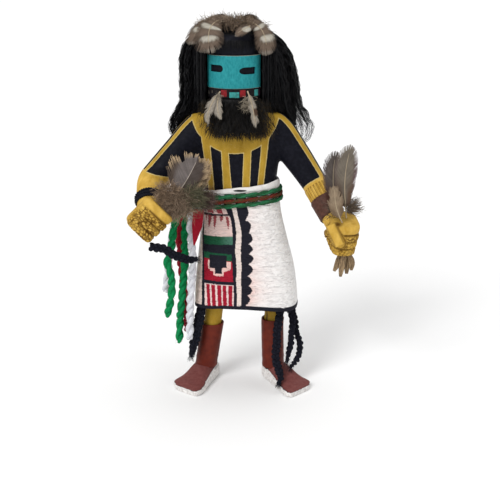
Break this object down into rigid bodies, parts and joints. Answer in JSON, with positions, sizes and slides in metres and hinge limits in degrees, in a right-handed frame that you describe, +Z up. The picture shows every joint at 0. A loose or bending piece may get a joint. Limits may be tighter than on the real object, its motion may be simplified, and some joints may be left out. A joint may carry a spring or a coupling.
{
  "type": "kachina doll",
  "caption": "Carved and painted wooden kachina doll with a turquoise mask, long black hair and beard, feathers, a white leather kilt, hanging yarn and boots, standing on its own feet.",
  "frame": {"origin": "middle of the bounding box, on the plane that the two soles stand on", "axes": "+Z up from the soles to the crest feathers, -Y the way the doll faces, +X the doll's left"},
  "size_m": [0.1791, 0.0924, 0.3011],
  "materials": {
    "black_paint": "satin black and yellow paint on carved wood",
    "turquoise_leather": "matte brushed paint",
    "black_leather": "matte paint with coloured blocks",
    "hair": "long black hair and fur",
    "brown_leather": "smooth",
    "white_leather": "matte pebbled, painted",
    "green_yarn": "fuzzy",
    "red_yarn": "fuzzy",
    "white_yarn": "fuzzy",
    "black_yarn": "fuzzy",
    "feather_brown": "soft",
    "feather_pale": "soft",
    "husk": "dry"
  },
  "bodies": {
    "root": {"beard": "hair", "belt_green_lower": "green_yarn", "belt_green_upper": "green_yarn", "belt_red_middle": "red_yarn", "boot_shaft_left": "brown_leather", "boot_shaft_right": "brown_leather", "bow_guard": "brown_leather", "chin_band": "black_leather", "chin_feather_left": "feather_pale", "chin_feather_right": "feather_pale", "crest_feather_back_left": "feather_brown", "crest_feather_back_right": "feather_brown", "crest_feather_left": "feather_brown", "crest_feather_middle": "feather_brown", "crest_feather_right": "feather_brown", "crest_feather_right_under": "feather_brown", "figure": "black_paint", "hair": "hair", "hand_feather_left_round": "feather_brown", "hand_feather_left_short": "feather_brown", "hand_feather_left_tall": "feather_brown", "hand_feather_right": "feather_brown", "hand_feather_right_under": "feather_brown", "held_braid": "black_yarn", "hip_yarn_green_1": "green_yarn", "hip_yarn_green_2": "green_yarn", "hip_yarn_red_1": "red_yarn", "hip_yarn_white_1": "white_yarn", "hip_yarn_white_2": "white_yarn", "husk_strip_1": "husk", "husk_strip_2": "husk", "husk_strip_3": "husk", "husk_strip_4": "husk", "kilt": "white_leather", "knee_braid_left_1": "black_yarn", "knee_braid_left_2": "black_yarn", "knee_braid_left_3": "black_yarn", "knee_braid_right_1": "black_yarn", "knee_braid_right_2": "black_yarn", "mask_face": "turquoise_leather", "red_sash_end": "red_yarn", "wrist_yarn": "black_yarn"}
  },
  "joints": []
}
